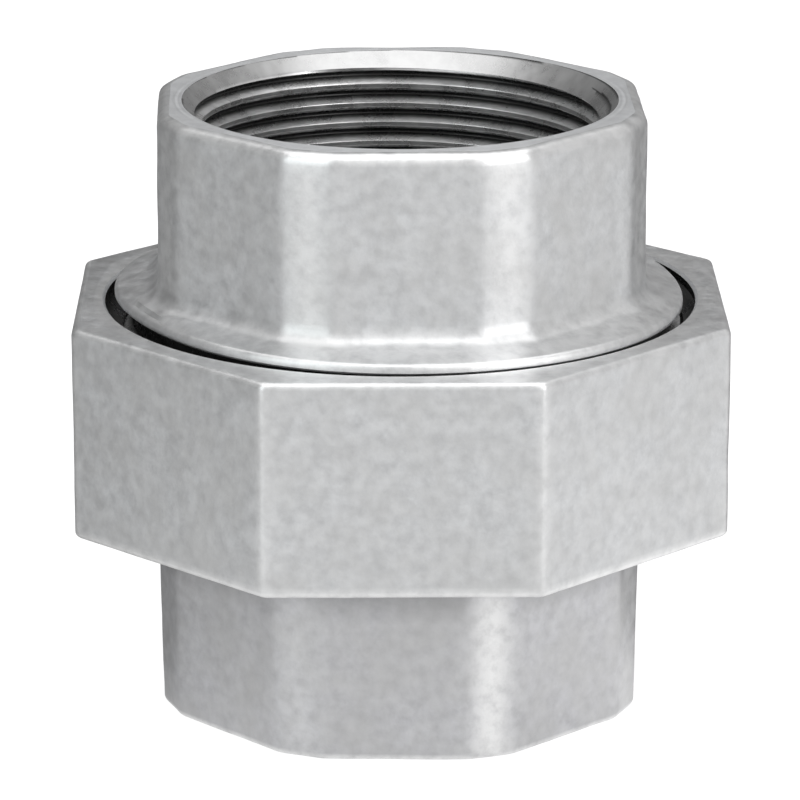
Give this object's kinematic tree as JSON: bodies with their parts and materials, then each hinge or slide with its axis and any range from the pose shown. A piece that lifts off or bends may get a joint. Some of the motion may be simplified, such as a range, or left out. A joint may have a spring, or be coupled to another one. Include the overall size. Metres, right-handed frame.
{
  "type": "pipe union",
  "caption": "Galvanised pipe union: two octagonal threaded sockets drawn face to face on a flat gasket by an octagonal union nut.",
  "frame": {"origin": "on the pipe axis, halfway between the two end faces, with the union made up tight", "axes": "+Z along the pipe axis, from the tail piece towards the threaded piece; -Y is the front, which a flat of each octagon faces within two degrees"},
  "size_m": [0.074, 0.074, 0.07],
  "materials": {
    "threaded_piece_iron": "hot-dip galvanised casting, bare cut threads and faces",
    "tail_piece_iron": "hot-dip galvanised casting, bare cut threads and faces",
    "nut_iron": "hot-dip galvanised casting, bare cut thread and mouth",
    "gasket_fibre": "rubber-bonded fibre sheet, cut edges"
  },
  "bodies": {
    "tail": {"tail_piece": "tail_piece_iron", "flat_gasket": "gasket_fibre"},
    "nut": {"union_nut": "nut_iron"},
    "threaded_end": {"threaded_piece": "threaded_piece_iron"}
  },
  "joints": [
    {"name": "nut_turn", "type": "hinge", "parent": "tail", "child": "nut", "pos_m": [0, 0, 0], "axis": [0, 0, -1], "range_deg": [0, 1440]},
    {"name": "draw_apart", "type": "slide", "parent": "tail", "child": "threaded_end", "axis": [0, 0, 1], "range_m": [0, 0.00924]}
  ],
  "couplings": [
    {"joint": "draw_apart", "follows": "nut_turn", "m_per_rad": 0.0003675}
  ]
}
